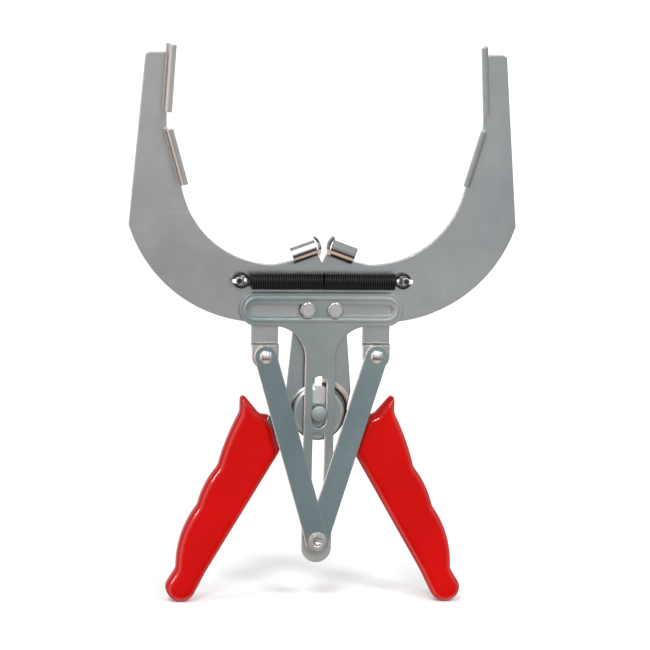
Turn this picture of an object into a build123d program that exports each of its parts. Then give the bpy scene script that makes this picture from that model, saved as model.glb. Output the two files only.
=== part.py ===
from build123d import *
import math
import os

# Piston ring pliers. The tool stands upright on the ends of its grips, jaws up.
# X runs across the tool, Y runs from front to back, Z is up. All sizes are in mm.
# Two curved jaws slide apart along a T-shaped guide plate when the grips are squeezed.

# Sheet stacks, as depths along Y. The back of the guide plate is at depth 0 here.
guide_thick = 2.0
jaw_thick = 2.0
handle_thick = 2.0
link_thick = 1.5
layer_gap = 0.1

# Guide plate
bar_width = 74.2
bar_height = 15.0
bar_z = 134.3
leg_width = 13.5
leg_foot_z = 19.1
gusset_radius = 15.0
slot_side_clearance = 0.15
slot_end_clearance = 0.2
slot_end_wall = 4.7
pivot_slot_clearance = 0.45
pivot_slot_top = 104.1
pivot_slot_bottom = 80.4
foot_slot_top = 78.8
foot_slot_bottom = 25.2
bead_inset = 1.9
bead_width = 1.3
bead_height = 0.4

# Jaws
jaw_top_z = 249.5
jaw_top_half = 81.5
jaw_corner_z = 172.0
jaw_corner_half = 87.7
jaw_outer_radius = 63.4
jaw_inner_radius = 43.5
jaw_bottom_z = 128.2
jaw_saddle_z = 154.3
jaw_inner_half = 72.2
jaw_tip_round = 2.0
butt_gap = 0.3
butt_notch_z = 155.2
tab_inner = (2.5, 160.1)
tab_outer = (13.2, 156.2)

# Folded lips that hold the ring
lip_thick = 1.2
sheet_bend = 0.9
lip_bend = 1.3
lip_depth = 6.6
lip_return = 2.0
lip_root_share = 1.3
lip_rise = 2.5
upper_lip_length = 30.2
upper_lip_lean = 2.9
upper_lip_rise = 4.0
lower_lip_start = (63.9, 190.0)
lower_lip_end = (71.6, 216.2)
lower_lip_length = 26.0
tab_depth = 5.2
tab_bend = 3.0
tab_return = 6.2
tab_lean = 2.0
claw_bulge = (2.1, 163.6)
claw_tip = (4.5, 167.3)
claw_thick = 1.1
claw_root = 1.7

# Jaw ears that carry the links
ear_width = 12.1
ear_round = 6.05
ear_joggle_slant = 0.4
ear_overlap = 4.0

# Pins: places of the pivots at rest and sizes of their shanks and heads
guide_pin = (6.2, 134.1)
ear_pin = (25.3, 113.2)
pivot_z = 86.8
foot_z = 29.1
guide_pin_radius = 2.2
guide_head_radius = 3.6
ear_pin_radius = 2.1
ear_head_radius = 3.0
pivot_pin_radius = 2.8
pivot_head_radius = 3.8
pivot_head_thick = 0.7
foot_pin_radius = 2.1
foot_head_radius = 4.3
foot_bush_clearance = 0.32
foot_bush_wall = 0.35
head_thick = 1.1
head_chamfer = 0.3
dome_share = 0.65
ear_dome_extra = 0.4
ear_tail_inset = 0.4
pivot_tail_extra = 0.4
foot_flare_inset = 0.8
foot_tail_inset = 0.6
washer_thick = 0.8
washer_rim = 1.6
ear_washer_rim = 0.2
pivot_washer_rim = 1.9
pin_clearance = 0.1
pivot_hole_clearance = 0.9
foot_hole_clearance = 0.65

# Links
link_width = 10.2

# Handle plates
arm_gap = 3.6
arm_crotch_z = 98.6
arm_outer_low = (14.6, 97.0)
arm_outer_high = (12.2, 124.0)
arm_top_z = 140.2
arm_top_round = 4.2
arm_hub_overlap = 8.0
hub_radius = 12.3
rear_hub_radius = 10.2
front_bend_radius = 10.9
rear_bend_radius = 13.0
hub_bend_width = 2.4
hub_step = 1.05

# Grips, measured in a frame that follows the straight inner edge of the grip
grip_corner = (16.5, 69.5)
grip_angle = 30.5
grip_length = 65.0
grip_front = 0.4
grip_depth = 11.2
grip_round = 1.1
grip_horn_round = 1.3
grip_corner_round = 1.8
grip_wall = 2.4
grip_wall_depth = 1.8
grip_ball_radius = 6.8
grip_ball_center = (60.4, 6.8)
grip_ball_low_angle = -75
grip_ball_end_angle = 10
grip_horn_tip = (35.2, 96.6)
grip_horn_foot = (25.9, 85.6)
grip_mouth = [(-11.0, 13.7), (-7.2, 6.4)]
finger_notches = [(35.1, 86.6), (44.6, 61.8), (53.5, 44.0), (62.6, 15.2)]
finger_bulges = [(40.4, 75.0), (50.1, 53.5), (60.7, 30.0)]
tang_length = 57.0
tang_width = 10.6
tang_end_width = 7.4
tang_inner_start = -12.0
tang_outer_start = -10.8
tang_neck = (-17.5, 4.2)
channel_start = -7.0
channel_wall = 1.4

# Return spring
spring_rise = 5.5
spring_radius = 3.85
spring_wire = 1.05
spring_half = 32.4
spring_gap = 0.25
loop_half = 36.7
loop_radius = 3.2
loop_depth = 2.4
tongue_thick = 1.0
tongue_width = 3.2
tongue_tip_width = 0.8
tongue_root = 3.0
tongue_start = 1.2
tongue_shoulder = 0.5
tongue_bend = 0.8
tongue_drop = 0.7
tongue_clearance = 0.1
tongue_window = (2.6, 2.2)
tongue_pierce = 0.8

# Cutters run this far past the sheet they cut
cut_extra = 1.0

# Derived depths, front to back
guide_front = -guide_thick
jaw_front = layer_gap
jaw_back = jaw_front + jaw_thick
handle_front = jaw_back + layer_gap
handle_back = handle_front + handle_thick
right_link_back = guide_front - 2 * layer_gap
right_link_front = right_link_back - link_thick
left_link_back = right_link_front - layer_gap
left_link_front = left_link_back - link_thick
hub_split = (handle_front + handle_back) / 2
jaw_slot_height = 2 * (guide_pin_radius + slot_side_clearance)
pivot_slot_width = 2 * (pivot_pin_radius + pivot_slot_clearance)
foot_bush_radius = foot_pin_radius + foot_bush_wall
foot_slot_width = 2 * (foot_bush_radius + foot_bush_clearance)
spring_depth = jaw_front - spring_gap - spring_radius
grip_back = grip_front + grip_depth

# Derived places
jaw_slot_inner = guide_pin[0] - guide_pin_radius - slot_end_clearance
jaw_slot_outer = bar_width / 2 - slot_end_wall
spring_z = bar_z + bar_height / 2 + spring_rise
ear_joggle_z = ear_pin[1] + ear_head_radius + ear_washer_rim + jaw_thick
jaw_outer_center = (
    jaw_corner_half
    - math.sqrt(jaw_outer_radius**2 - (jaw_bottom_z + jaw_outer_radius - jaw_corner_z) ** 2),
    jaw_bottom_z + jaw_outer_radius,
)
jaw_inner_center_z = jaw_saddle_z + jaw_inner_radius
jaw_lip_foot = (lower_lip_start[0], lower_lip_start[1] - lip_rise)
jaw_inner_center = (
    jaw_lip_foot[0] - math.sqrt(jaw_inner_radius**2 - (jaw_inner_center_z - jaw_lip_foot[1]) ** 2),
    jaw_inner_center_z,
)
grip_down = (math.sin(math.radians(grip_angle)), -math.cos(math.radians(grip_angle)))
grip_out = (math.cos(math.radians(grip_angle)), math.sin(math.radians(grip_angle)))
depth_shift = -((spring_depth - spring_radius) + grip_back) / 2


def slab(face, front, back):
    """Extrude a face drawn in X and Z so that it fills the depths from front to back."""
    return extrude(Plane.XZ.offset(-back) * face, back - front)


def disc(place, radius, front, back):
    """A round slab about a place given in X and Z."""
    return slab(Pos(*place) * Circle(radius), front, back)


def arc_point(center, radius, angle):
    """The point of a circle at an angle in degrees."""
    turn = math.radians(angle)
    return (center[0] + radius * math.cos(turn), center[1] + radius * math.sin(turn))


def grip_point(along, out):
    """A point in X and Z from a place along and out from the inner edge of the grip."""
    return (
        grip_corner[0] + along * grip_down[0] + out * grip_out[0],
        grip_corner[1] + along * grip_down[1] + out * grip_out[1],
    )


def closed_outline(pieces):
    """A face from joined lines and arcs."""
    return make_face(Curve() + pieces)


def guide_plate():
    half = leg_width / 2
    bar_bottom = bar_z - bar_height / 2
    leg_low = leg_foot_z + half
    face = Pos(0, bar_z) * SlotOverall(bar_width, bar_height)
    face += Pos(0, (leg_low + bar_z) / 2) * Rectangle(leg_width, bar_z - leg_low)
    face += Pos(0, leg_low) * Circle(half)
    for side in (-1, 1):
        reach = gusset_radius / 2
        corner = Pos(side * (half + reach), bar_bottom - reach) * Rectangle(gusset_radius, gusset_radius)
        center = (side * (half + gusset_radius), bar_bottom - gusset_radius)
        face += corner - Pos(*center) * Circle(gusset_radius)
    for side in (-1, 1):
        middle = side * (jaw_slot_inner + jaw_slot_outer) / 2
        length = jaw_slot_outer - jaw_slot_inner
        face -= Pos(middle, guide_pin[1]) * SlotOverall(length, jaw_slot_height)
    for top, bottom, width in (
        (pivot_slot_top, pivot_slot_bottom, pivot_slot_width),
        (foot_slot_top, foot_slot_bottom, foot_slot_width),
    ):
        face -= Pos(0, (top + bottom) / 2) * Rot(0, 0, 90) * SlotOverall(top - bottom, width)
    plate = slab(face, guide_front, 0)
    outer = SlotOverall(bar_width - 2 * bead_inset, bar_height - 2 * bead_inset)
    inset = bead_inset + bead_width
    inner = SlotOverall(bar_width - 2 * inset, bar_height - 2 * inset)
    bead = Pos(0, bar_z) * (outer - inner)
    return plate + slab(bead, guide_front - bead_height, guide_front)


def folded_lip(start, end, depth, inward, bend, lean=0):
    """A flange bent forward from the sheet along a line, with its edge returned inward.

    The lean is how far the returned edge comes back towards the sheet.
    """
    run = (end[0] - start[0], end[1] - start[1])
    length = math.hypot(*run)
    along = (run[0] / length, run[1] / length)
    place = Plane(
        origin=(start[0], 0, start[1]),
        x_dir=(along[1], 0, -along[0]),
        z_dir=(along[0], 0, along[1]),
    )
    sheet = jaw_front + lip_thick / 2
    path = FilletPolyline(
        (lip_thick / 2 + lip_root_share * sheet_bend, sheet),
        (lip_thick / 2, sheet),
        (lip_thick / 2, -depth),
        (-inward, lean - depth),
        radius=[sheet_bend, bend],
    )
    return extrude(place * trace(path, lip_thick), length)


def jaw_face():
    """The flat outline of the right jaw."""
    arc_low = jaw_outer_center[0], jaw_bottom_z
    corner = (jaw_corner_half, jaw_corner_z)
    corner_angle = math.degrees(
        math.atan2(corner[1] - jaw_outer_center[1], corner[0] - jaw_outer_center[0])
    )
    arc_middle = arc_point(jaw_outer_center, jaw_outer_radius, (corner_angle - 90) / 2)
    foot_angle = math.degrees(
        math.atan2(jaw_lip_foot[1] - jaw_inner_center[1], jaw_lip_foot[0] - jaw_inner_center[0])
    )
    inner_middle = arc_point(jaw_inner_center, jaw_inner_radius, (foot_angle - 90) / 2)
    pieces = [
        Line((butt_gap / 2, jaw_bottom_z), arc_low),
        ThreePointArc(arc_low, arc_middle, corner),
        Line(corner, (jaw_top_half, jaw_top_z)),
        Line((jaw_top_half, jaw_top_z), (jaw_inner_half, jaw_top_z)),
        Line((jaw_inner_half, jaw_top_z), lower_lip_end),
        Line(lower_lip_end, jaw_lip_foot),
        ThreePointArc(jaw_lip_foot, inner_middle, (jaw_inner_center[0], jaw_saddle_z)),
        Line((jaw_inner_center[0], jaw_saddle_z), tab_outer),
        Line(tab_outer, tab_inner),
        Line(tab_inner, (butt_gap / 2, butt_notch_z)),
        Line((butt_gap / 2, butt_notch_z), (butt_gap / 2, jaw_bottom_z)),
    ]
    return closed_outline(pieces)


def ear(step):
    """The lug below the jaw, joggled forward so that it lies behind its link."""
    slant = ear_joggle_slant
    turn = jaw_thick * math.tan(math.atan2(step, slant) / 2)
    low = ear_pin[1] - ear_round
    top = jaw_bottom_z + ear_overlap
    front = [
        (jaw_front, top),
        (jaw_front, ear_joggle_z + slant),
        (jaw_front - step, ear_joggle_z),
        (jaw_front - step, low),
    ]
    back = [
        (jaw_back - step, low),
        (jaw_back - step, ear_joggle_z - turn),
        (jaw_back, ear_joggle_z + slant - turn),
        (jaw_back, top),
    ]
    side_face = Plane.YZ.offset(ear_pin[0] - ear_width / 2) * make_face(Polyline(*front, *back, close=True))
    strip = extrude(side_face, ear_width)
    outline = Pos(*ear_pin) * Circle(ear_round)
    outline += Pos(ear_pin[0], (ear_pin[1] + top) / 2) * Rectangle(ear_width, top - ear_pin[1])
    return strip & slab(outline, jaw_front - step - cut_extra, jaw_back + cut_extra)


def spring_tongue():
    """The tongue that is pressed out of the jaw and holds the loop of the spring."""
    over = loop_depth + spring_wire / 2 + tongue_thick / 2 + tongue_clearance
    path = FilletPolyline(
        (loop_half - tongue_start, jaw_front + tongue_thick),
        (loop_half - tongue_start + tongue_thick, tongue_drop / 2 - over),
        (loop_half + loop_radius + spring_wire, -tongue_drop / 2 - over),
        radius=tongue_bend,
    )
    base = Plane.XY.offset(spring_z - tongue_width / 2)
    blade = extrude(base * trace(path, tongue_thick), tongue_width)
    reach = loop_half + loop_radius + 2 * spring_wire
    root = loop_half - tongue_root
    shoulder = loop_half + tongue_shoulder
    point = [
        (root, spring_z - tongue_width / 2),
        (shoulder, spring_z - tongue_width / 2),
        (reach, spring_z - tongue_tip_width / 2),
        (reach, spring_z + tongue_tip_width / 2),
        (shoulder, spring_z + tongue_width / 2),
        (root, spring_z + tongue_width / 2),
    ]
    front = -over - tongue_thick - cut_extra
    return blade & slab(make_face(Polyline(*point, close=True)), front, jaw_back)


def claw():
    """The stop at the inner end of the jaw's tab, which enters the gap of the ring."""
    foot = (tab_inner[0], tab_inner[1] - lip_thick / 2)
    blade = trace(ThreePointArc(foot, claw_bulge, claw_tip), claw_thick)
    return slab(blade, -tab_depth - lip_thick / 2, -claw_root)


def jaw(step):
    lean = math.radians(upper_lip_lean)
    lip_low_z = jaw_top_z + upper_lip_rise - upper_lip_length
    lip_low = (jaw_inner_half, lip_low_z)
    lip_high = (jaw_inner_half - upper_lip_length * math.tan(lean), jaw_top_z + upper_lip_rise)
    lip_mid = ((lower_lip_start[0] + lower_lip_end[0]) / 2, (lower_lip_start[1] + lower_lip_end[1]) / 2)
    run = (lower_lip_end[0] - lower_lip_start[0], lower_lip_end[1] - lower_lip_start[1])
    scale = lower_lip_length / math.hypot(*run) / 2
    low = (lip_mid[0] - run[0] * scale, lip_mid[1] - run[1] * scale)
    high = (lip_mid[0] + run[0] * scale, lip_mid[1] + run[1] * scale)
    plate = slab(jaw_face(), jaw_front, jaw_back)
    tip = plate.edges().filter_by(Axis.Y).sort_by_distance((jaw_top_half, jaw_front, jaw_top_z))[0]
    plate = fillet(tip, jaw_tip_round)
    body = plate + ear(step)
    body += folded_lip(lip_low, lip_high, lip_depth, lip_return, lip_bend)
    body += folded_lip(low, high, lip_depth, lip_return, lip_bend)
    body += folded_lip(tab_inner, tab_outer, tab_depth, tab_return, tab_bend, tab_lean)
    body += claw()
    window = Pos(loop_half + tongue_window[0] / 2, spring_z) * Rectangle(*tongue_window)
    body -= slab(window, jaw_front, jaw_back)
    body += spring_tongue()
    body -= disc((loop_half - 2 * tongue_thick, spring_z), tongue_pierce, jaw_front, jaw_back)
    body -= disc(guide_pin, guide_pin_radius, jaw_front - cut_extra, jaw_back + cut_extra)
    return body - disc(ear_pin, ear_pin_radius, jaw_front - step - cut_extra, jaw_back)


def tang_outline():
    """The part of the handle plate that runs from the hub down inside the grip."""
    first = grip_wall
    last = first + (tang_width + tang_end_width) / 2
    points = [
        grip_point(tang_length, first),
        grip_point(tang_inner_start, first),
        (0, pivot_z),
        grip_point(tang_neck[0], first + tang_neck[1]),
        grip_point(tang_outer_start, first + tang_width),
        grip_point(tang_length, last),
    ]
    return points


def hub_bend(face, start_radius, hub_front, hub_back):
    """The cone where the sheet steps from the arm and tang to the hub, cut to their outline."""
    end_radius = start_radius + hub_bend_width
    section = Polyline(
        (start_radius, hub_front),
        (end_radius, handle_front),
        (end_radius, handle_back),
        (start_radius, hub_back),
        close=True,
    )
    cone = revolve(Plane.XY * make_face(section), Axis.Y)
    reach = hub_step + handle_thick
    return Pos(0, 0, pivot_z) * cone & slab(face, handle_front - reach, handle_back + reach)


def handle_plate(hub_front, hub_back, disc_radius, bend_radius, hole_radius):
    """One side of the handle: arm, hub and tang. The hubs of the two sides lap."""
    inner = arm_gap / 2
    arm = Polyline(
        (inner, arm_crotch_z - arm_hub_overlap),
        (inner, arm_top_z - arm_top_round),
        (inner + arm_top_round, arm_top_z),
        (arm_outer_high[0] - arm_top_round / 2, arm_top_z),
        (arm_outer_high[0], arm_top_z - arm_top_round / 2),
        arm_outer_high,
        arm_outer_low,
        (rear_bend_radius, pivot_z),
        close=True,
    )
    face = make_face(arm) + make_face(Polyline(*tang_outline(), close=True))
    core = Pos(0, pivot_z) * Circle(bend_radius)
    hub = (Pos(0, pivot_z) * Circle(disc_radius) - (face - core)) + (face & core)
    plate = slab(face - Pos(0, pivot_z) * Circle(bend_radius + hub_bend_width), handle_front, handle_back)
    plate += hub_bend(face, bend_radius, hub_front, hub_back)
    plate += slab(hub, hub_front, hub_back)
    points = tang_outline()
    edges = ((points[0], grip_point(channel_start, grip_wall)), (points[4], points[5]))
    for side, edge in zip((1, -1), edges):
        shift = (side * grip_out[0] * channel_wall, side * grip_out[1] * channel_wall)
        strip = Polyline(
            edge[0],
            edge[1],
            (edge[1][0] + shift[0], edge[1][1] + shift[1]),
            (edge[0][0] + shift[0], edge[0][1] + shift[1]),
            close=True,
        )
        plate += slab(make_face(strip), handle_back, grip_back - grip_wall_depth)
    plate -= disc(guide_pin, guide_pin_radius + pin_clearance, handle_front, handle_back)
    return plate - disc((0, pivot_z), hole_radius, hub_front, hub_back)


def grip_face():
    """The outline of the right grip, with its horn, finger bulges and end ball."""
    low = grip_point(grip_length, 0)
    ball_side = arc_point(grip_ball_center, grip_ball_radius, 180 + grip_angle)
    ball_end = arc_point(grip_ball_center, grip_ball_radius, grip_ball_end_angle)
    ball_low = arc_point(grip_ball_center, grip_ball_radius, grip_ball_low_angle)
    mouth = [
        grip_horn_tip,
        grip_horn_foot,
        *(grip_point(*place) for place in grip_mouth),
        grip_corner,
        low,
        ball_side,
    ]
    pieces = [Line(a, b) for a, b in zip(mouth, mouth[1:])]
    pieces.append(ThreePointArc(ball_side, ball_low, ball_end))
    pieces.append(Line(ball_end, finger_notches[-1]))
    for start, bulge, end in zip(finger_notches, finger_bulges, finger_notches[1:]):
        pieces.append(ThreePointArc(start, bulge, end))
    pieces.append(Line(grip_horn_tip, finger_notches[0]))
    face = closed_outline(pieces)
    for vertex in face.vertices():
        at_horn = math.dist((vertex.X, vertex.Y), grip_horn_tip) < 0.01
        corner = face.vertices().sort_by_distance((vertex.X, vertex.Y, 0))[0]
        face = fillet(corner, grip_horn_round if at_horn else grip_corner_round)
    return face


def grip():
    sleeve = slab(grip_face(), grip_front, grip_back)
    rims = sleeve.faces().filter_by(Axis.Y).edges()
    sleeve = fillet(rims, grip_round)
    pocket = make_face(Polyline(*tang_outline(), close=True))
    return sleeve - slab(pocket, handle_front, grip_back - grip_wall_depth)


def link(front, foot_hole_radius):
    """A straight link from the ear pin down to the foot pin, drawn for the right side."""
    run = (ear_pin[0], ear_pin[1] - foot_z)
    length = math.hypot(*run)
    turn = math.degrees(math.atan2(run[1], run[0]))
    middle = (ear_pin[0] / 2, (ear_pin[1] + foot_z) / 2)
    face = Pos(*middle) * Rot(0, 0, turn) * SlotCenterToCenter(length, link_width)
    face -= Pos(*ear_pin) * Circle(ear_pin_radius + pin_clearance)
    face -= Pos(0, foot_z) * Circle(foot_hole_radius)
    return slab(face, front, front + link_thick)


def domed_head(place, radius, face_depth, thick, outward):
    """A low domed rivet head that stands on a face and bulges outward along Y."""
    rise = thick * dome_share
    dome_radius = (radius**2 + rise**2) / (2 * rise)
    rim = face_depth + outward * (thick - rise)
    ball = Pos(place[0], rim + outward * (rise - dome_radius), place[1]) * Sphere(dome_radius)
    cap = disc(place, radius, min(rim, rim + outward * thick), max(rim, rim + outward * thick)) & ball
    return cap + disc(place, radius, min(face_depth, rim), max(face_depth, rim))


def ring(place, outer, inner, front, back):
    return disc(place, outer, front, back) - disc(place, inner, front, back)


def guide_rivet():
    """The flat headed rivet that slides in the guide and hinges the handle on the jaw."""
    washer_back = handle_back + layer_gap + washer_thick
    front = guide_front - layer_gap / 2 - bead_height
    body = disc(guide_pin, guide_pin_radius, front, washer_back)
    head = disc(guide_pin, guide_head_radius, front - head_thick, front)
    rim = head.edges().sort_by(Axis.Y)[0]
    head = chamfer(rim, head_chamfer)
    return body + head + domed_head(guide_pin, guide_head_radius, washer_back, head_thick, 1)


def guide_washer():
    front = handle_back + layer_gap
    outer = guide_pin_radius + washer_rim
    return ring(guide_pin, outer, guide_pin_radius, front, front + washer_thick)


def ear_rivet(link_front, step):
    back = jaw_back - step + layer_gap / 2 + washer_thick
    front = link_front - layer_gap / 2
    body = disc(ear_pin, ear_pin_radius, front, back)
    body += domed_head(ear_pin, ear_head_radius, front, head_thick + ear_dome_extra, -1)
    return body + domed_head(ear_pin, ear_head_radius - ear_tail_inset, back, head_thick, 1)


def ear_washer(step):
    front = jaw_back - step + layer_gap / 2
    return ring(ear_pin, ear_head_radius + ear_washer_rim, ear_pin_radius, front, front + washer_thick)


def pivot_rivet():
    """The rivet of the two hubs. It slides up and down in the upper slot of the leg."""
    place = (0, pivot_z)
    front = guide_front - layer_gap / 2
    back = handle_back + hub_step + layer_gap / 2 + washer_thick
    body = disc(place, pivot_pin_radius, front, back)
    body += domed_head(place, pivot_head_radius, front, pivot_head_thick, -1)
    return body + domed_head(place, pivot_head_radius + pivot_tail_extra, back, head_thick, 1)


def pivot_spacer():
    front = layer_gap / 2
    back = handle_front - hub_step - layer_gap / 2
    return ring((0, pivot_z), pivot_slot_width / 2 + pivot_washer_rim, pivot_pin_radius, front, back)


def pivot_washer():
    front = handle_back + hub_step + layer_gap / 2
    outer = pivot_pin_radius + pivot_hole_clearance + pivot_washer_rim
    return ring((0, pivot_z), outer, pivot_pin_radius, front, front + washer_thick)


def foot_rivet():
    """The tubular rivet at the foot of the links. It slides in the lower slot of the leg."""
    place = (0, foot_z)
    front = left_link_front - layer_gap / 2 - washer_thick
    back = layer_gap / 2 + washer_thick
    body = disc(place, foot_pin_radius, front, back)
    body += disc(place, foot_head_radius - foot_flare_inset, front - head_thick / 2, front)
    body += domed_head(place, foot_head_radius - foot_tail_inset, back, head_thick, 1)
    return body - Pos(0, front - head_thick, foot_z) * Sphere(foot_pin_radius)


def foot_washer():
    front = left_link_front - layer_gap / 2 - washer_thick
    return ring((0, foot_z), foot_head_radius, foot_pin_radius, front, front + washer_thick)


def foot_rear_washer():
    outer = foot_slot_width / 2 + washer_rim
    return ring((0, foot_z), outer, foot_pin_radius, layer_gap / 2, layer_gap / 2 + washer_thick)


def foot_bush():
    """The roller that fills the lower slot around the foot rivet."""
    return ring((0, foot_z), foot_bush_radius, foot_pin_radius, guide_front, 0)


def tension_spring():
    """The closed-coil spring in front of the jaws, with an end loop on each tongue."""
    inner = spring_radius - spring_wire
    coil = Rot(0, 90, 0) * Cylinder(spring_radius, 2 * spring_half)
    coil -= Rot(0, 90, 0) * Cylinder(inner, 2 * spring_half + 2)
    coil = Pos(0, spring_depth, spring_z) * coil
    for side in (-1, 1):
        loop = Rot(90, 0, 0) * Torus(loop_radius, spring_wire / 2)
        coil += Pos(side * loop_half, -loop_depth, spring_z) * loop
        neck_start = spring_half - spring_wire
        neck_length = loop_half - loop_radius - neck_start
        neck = Rot(0, 90, 0) * Cylinder(spring_wire / 2, neck_length)
        coil += Pos(side * (neck_start + neck_length / 2), -loop_depth, spring_z) * neck
        offset = spring_depth + loop_depth
        half_chord = math.sqrt((inner + spring_wire / 2) ** 2 - offset**2)
        bar = Cylinder(spring_wire / 2, 2 * half_chord)
        coil += Pos(side * (neck_start + spring_wire / 2), -loop_depth, spring_z) * bar
    return coil


def save(name, solid, flip=False):
    """Write one piece, mirrored to the left side when it is flipped."""
    placed = mirror(solid, about=Plane.YZ) if flip else solid
    export_step(Pos(0, depth_shift, 0) * placed, f"parts/{name}.step")


def main():
    os.makedirs("parts", exist_ok=True)
    save("guide_plate", guide_plate())
    save("tension_spring", tension_spring())
    save("pivot_rivet", pivot_rivet())
    save("pivot_spacer", pivot_spacer())
    save("pivot_washer", pivot_washer())
    save("foot_rivet", foot_rivet())
    save("foot_washer", foot_washer())
    save("foot_rear_washer", foot_rear_washer())
    save("foot_bush", foot_bush())
    close_hole = pivot_pin_radius
    open_hole = pivot_pin_radius + pivot_hole_clearance
    hubs = {
        "left": (
            handle_front - hub_step,
            hub_split - layer_gap / 2,
            hub_radius,
            front_bend_radius,
            close_hole,
        ),
        "right": (
            hub_split + layer_gap / 2,
            handle_back + hub_step,
            rear_hub_radius,
            rear_bend_radius,
            open_hole,
        ),
    }
    links = {
        "left": (left_link_front, left_link_back, foot_pin_radius),
        "right": (right_link_front, right_link_back, foot_pin_radius + foot_hole_clearance),
    }
    for side, flip in (("left", True), ("right", False)):
        link_front, link_back, foot_hole = links[side]
        step = jaw_back - (link_back + layer_gap + jaw_thick)
        save(f"{side}_jaw", jaw(step), flip)
        save(f"{side}_handle_plate", handle_plate(*hubs[side]), flip)
        save(f"{side}_grip", grip(), flip)
        save(f"{side}_link", link(link_front, foot_hole), flip)
        save(f"{side}_guide_rivet", guide_rivet(), flip)
        save(f"{side}_guide_washer", guide_washer(), flip)
        save(f"{side}_ear_rivet", ear_rivet(link_front, step), flip)
        save(f"{side}_ear_washer", ear_washer(step), flip)


main()
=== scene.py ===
import math
import bmesh
import bpy
from mathutils import Matrix, Vector
from mathutils.geometry import delaunay_2d_cdt
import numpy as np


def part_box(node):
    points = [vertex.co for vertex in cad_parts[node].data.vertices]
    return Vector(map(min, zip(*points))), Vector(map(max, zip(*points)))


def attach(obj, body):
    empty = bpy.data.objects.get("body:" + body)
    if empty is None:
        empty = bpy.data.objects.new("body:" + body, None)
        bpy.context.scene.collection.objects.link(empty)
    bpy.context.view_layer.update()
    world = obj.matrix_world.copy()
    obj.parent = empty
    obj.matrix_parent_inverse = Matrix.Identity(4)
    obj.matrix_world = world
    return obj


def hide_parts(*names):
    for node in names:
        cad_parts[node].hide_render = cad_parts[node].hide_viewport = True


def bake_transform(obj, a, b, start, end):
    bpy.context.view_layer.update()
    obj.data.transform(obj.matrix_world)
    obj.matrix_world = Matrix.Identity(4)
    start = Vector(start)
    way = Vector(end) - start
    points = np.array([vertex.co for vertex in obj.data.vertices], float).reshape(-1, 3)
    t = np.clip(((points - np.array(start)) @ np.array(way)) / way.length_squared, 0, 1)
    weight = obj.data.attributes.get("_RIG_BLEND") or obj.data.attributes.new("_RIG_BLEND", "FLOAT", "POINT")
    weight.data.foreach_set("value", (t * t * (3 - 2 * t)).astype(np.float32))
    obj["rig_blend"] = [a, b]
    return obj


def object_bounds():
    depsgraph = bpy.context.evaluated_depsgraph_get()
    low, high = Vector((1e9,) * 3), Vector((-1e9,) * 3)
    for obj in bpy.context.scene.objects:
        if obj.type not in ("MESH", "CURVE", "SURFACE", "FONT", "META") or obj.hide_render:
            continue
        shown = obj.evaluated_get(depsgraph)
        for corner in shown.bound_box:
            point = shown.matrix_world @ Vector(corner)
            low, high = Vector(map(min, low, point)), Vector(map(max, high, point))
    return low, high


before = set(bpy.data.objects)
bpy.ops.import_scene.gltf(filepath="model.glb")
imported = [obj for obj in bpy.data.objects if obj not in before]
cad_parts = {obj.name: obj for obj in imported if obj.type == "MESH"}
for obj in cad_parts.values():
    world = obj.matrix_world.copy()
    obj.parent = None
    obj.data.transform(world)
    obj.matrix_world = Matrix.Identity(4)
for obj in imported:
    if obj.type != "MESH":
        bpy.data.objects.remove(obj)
low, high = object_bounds()
mm = 0.001
weldDistance = 1e-6
bothSides = ((1, "right"), (-1, "left"))
print("frame loaded")


# small helpers for meshes

def newPiece(name, mesh, material, smooth=True):
    piece = bpy.data.objects.new(name, mesh)
    bpy.context.collection.objects.link(piece)
    mesh.materials.clear()
    mesh.materials.append(material)
    for face in mesh.polygons:
        face.use_smooth = smooth
    return piece


def toMesh(piece):
    # bakes the modifiers of a piece into a plain mesh
    bpy.context.view_layer.update()
    depsgraph = bpy.context.evaluated_depsgraph_get()
    mesh = bpy.data.meshes.new_from_object(piece.evaluated_get(depsgraph))
    piece.modifiers.clear()
    return mesh


def tidyMesh(mesh, distance):
    work = bmesh.new()
    work.from_mesh(mesh)
    bmesh.ops.remove_doubles(work, verts=work.verts, dist=distance)
    bmesh.ops.recalc_face_normals(work, faces=work.faces)
    work.to_mesh(mesh)
    work.free()


def finishMesh(work, name):
    # turns a bmesh into a mesh with its normals outward
    bmesh.ops.recalc_face_normals(work, faces=work.faces)
    mesh = bpy.data.meshes.new(name)
    work.to_mesh(mesh)
    work.free()
    return mesh


def joinMeshes(name, meshes):
    work = bmesh.new()
    for mesh in meshes:
        work.from_mesh(mesh)
    joined = bpy.data.meshes.new(name)
    work.to_mesh(joined)
    work.free()
    return joined


# small helpers for materials

def newMaterial(name):
    material = bpy.data.materials.new(name)
    material.use_nodes = True
    tree = material.node_tree
    tree.nodes.clear()
    output = tree.nodes.new("ShaderNodeOutputMaterial")
    shader = tree.nodes.new("ShaderNodeBsdfPrincipled")
    tree.links.new(shader.outputs["BSDF"], output.inputs["Surface"])
    coords = tree.nodes.new("ShaderNodeTexCoord")
    return material, tree, shader, coords.outputs["Object"]


def addNode(tree, kind, values=None, links=None, **settings):
    node = tree.nodes.new(kind)
    for key, value in settings.items():
        setattr(node, key, value)
    for key, value in (values or {}).items():
        node.inputs[key].default_value = value
    for key, socket in (links or {}).items():
        tree.links.new(socket, node.inputs[key])
    return node


def addNoise(tree, vector, scale, detail=4.0, rough=0.5, stretch=None, turn=(0, 0, 0)):
    if stretch:
        mapping = addNode(tree, "ShaderNodeMapping", links={"Vector": vector},
                          values={"Scale": stretch, "Rotation": turn})
        vector = mapping.outputs["Vector"]
    noise = addNode(tree, "ShaderNodeTexNoise", links={"Vector": vector},
                    values={"Scale": scale, "Detail": detail, "Roughness": rough})
    return noise.outputs["Fac"]


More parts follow.
